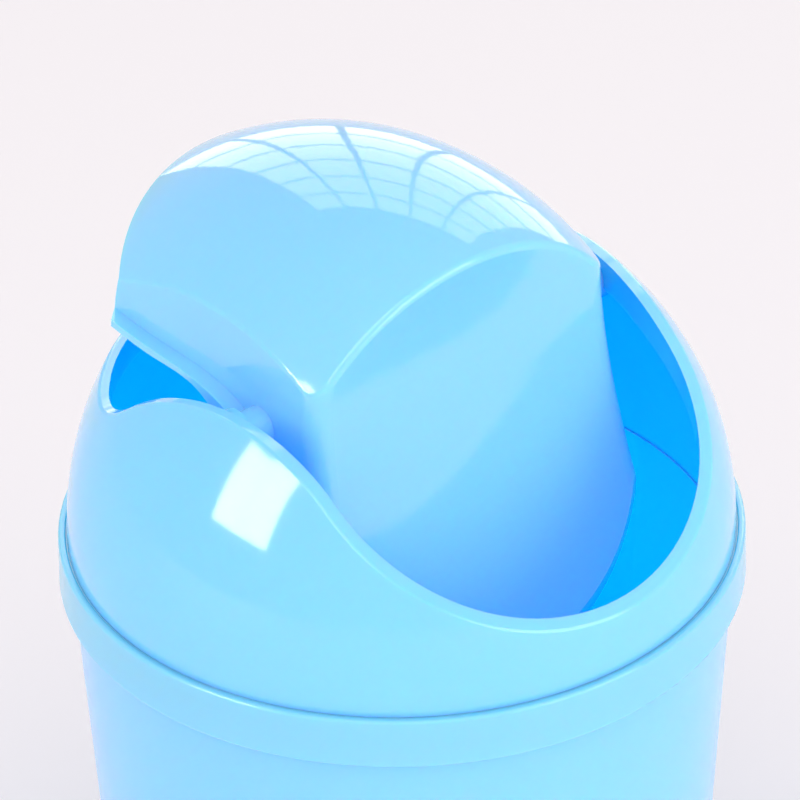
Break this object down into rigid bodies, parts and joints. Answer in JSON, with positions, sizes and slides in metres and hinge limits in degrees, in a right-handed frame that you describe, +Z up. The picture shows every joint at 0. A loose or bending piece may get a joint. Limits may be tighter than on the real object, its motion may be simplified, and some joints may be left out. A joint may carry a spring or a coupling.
{
  "type": "swing lid countertop bin",
  "caption": "Small round countertop bin: tapered bucket with a rim band, domed lid with a wave-shaped mouth, and a hooded flap that swings on side pins, shown part open.",
  "frame": {"origin": "centre of the base, on the standing surface", "axes": "+Z up along the bucket's axis; front, where the mouth is lowest, towards -Y; the flap's pins lie along X"},
  "size_m": [0.1264, 0.1264, 0.202],
  "materials": {
    "shell": "glossy"
  },
  "bodies": {
    "bucket": {"bucket": "shell"},
    "lid": {"lid": "shell"},
    "flap": {"flap": "shell"}
  },
  "joints": [
    {"name": "lid_lift", "type": "slide", "parent": "bucket", "child": "lid", "axis": [0, 0, 1], "range_m": [0, 0.06]},
    {"name": "flap_swing", "type": "hinge", "parent": "lid", "child": "flap", "pos_m": [0, -0.0039, 0.168], "axis": [1, 0, 0], "range_deg": [-27.3, 30]}
  ]
}
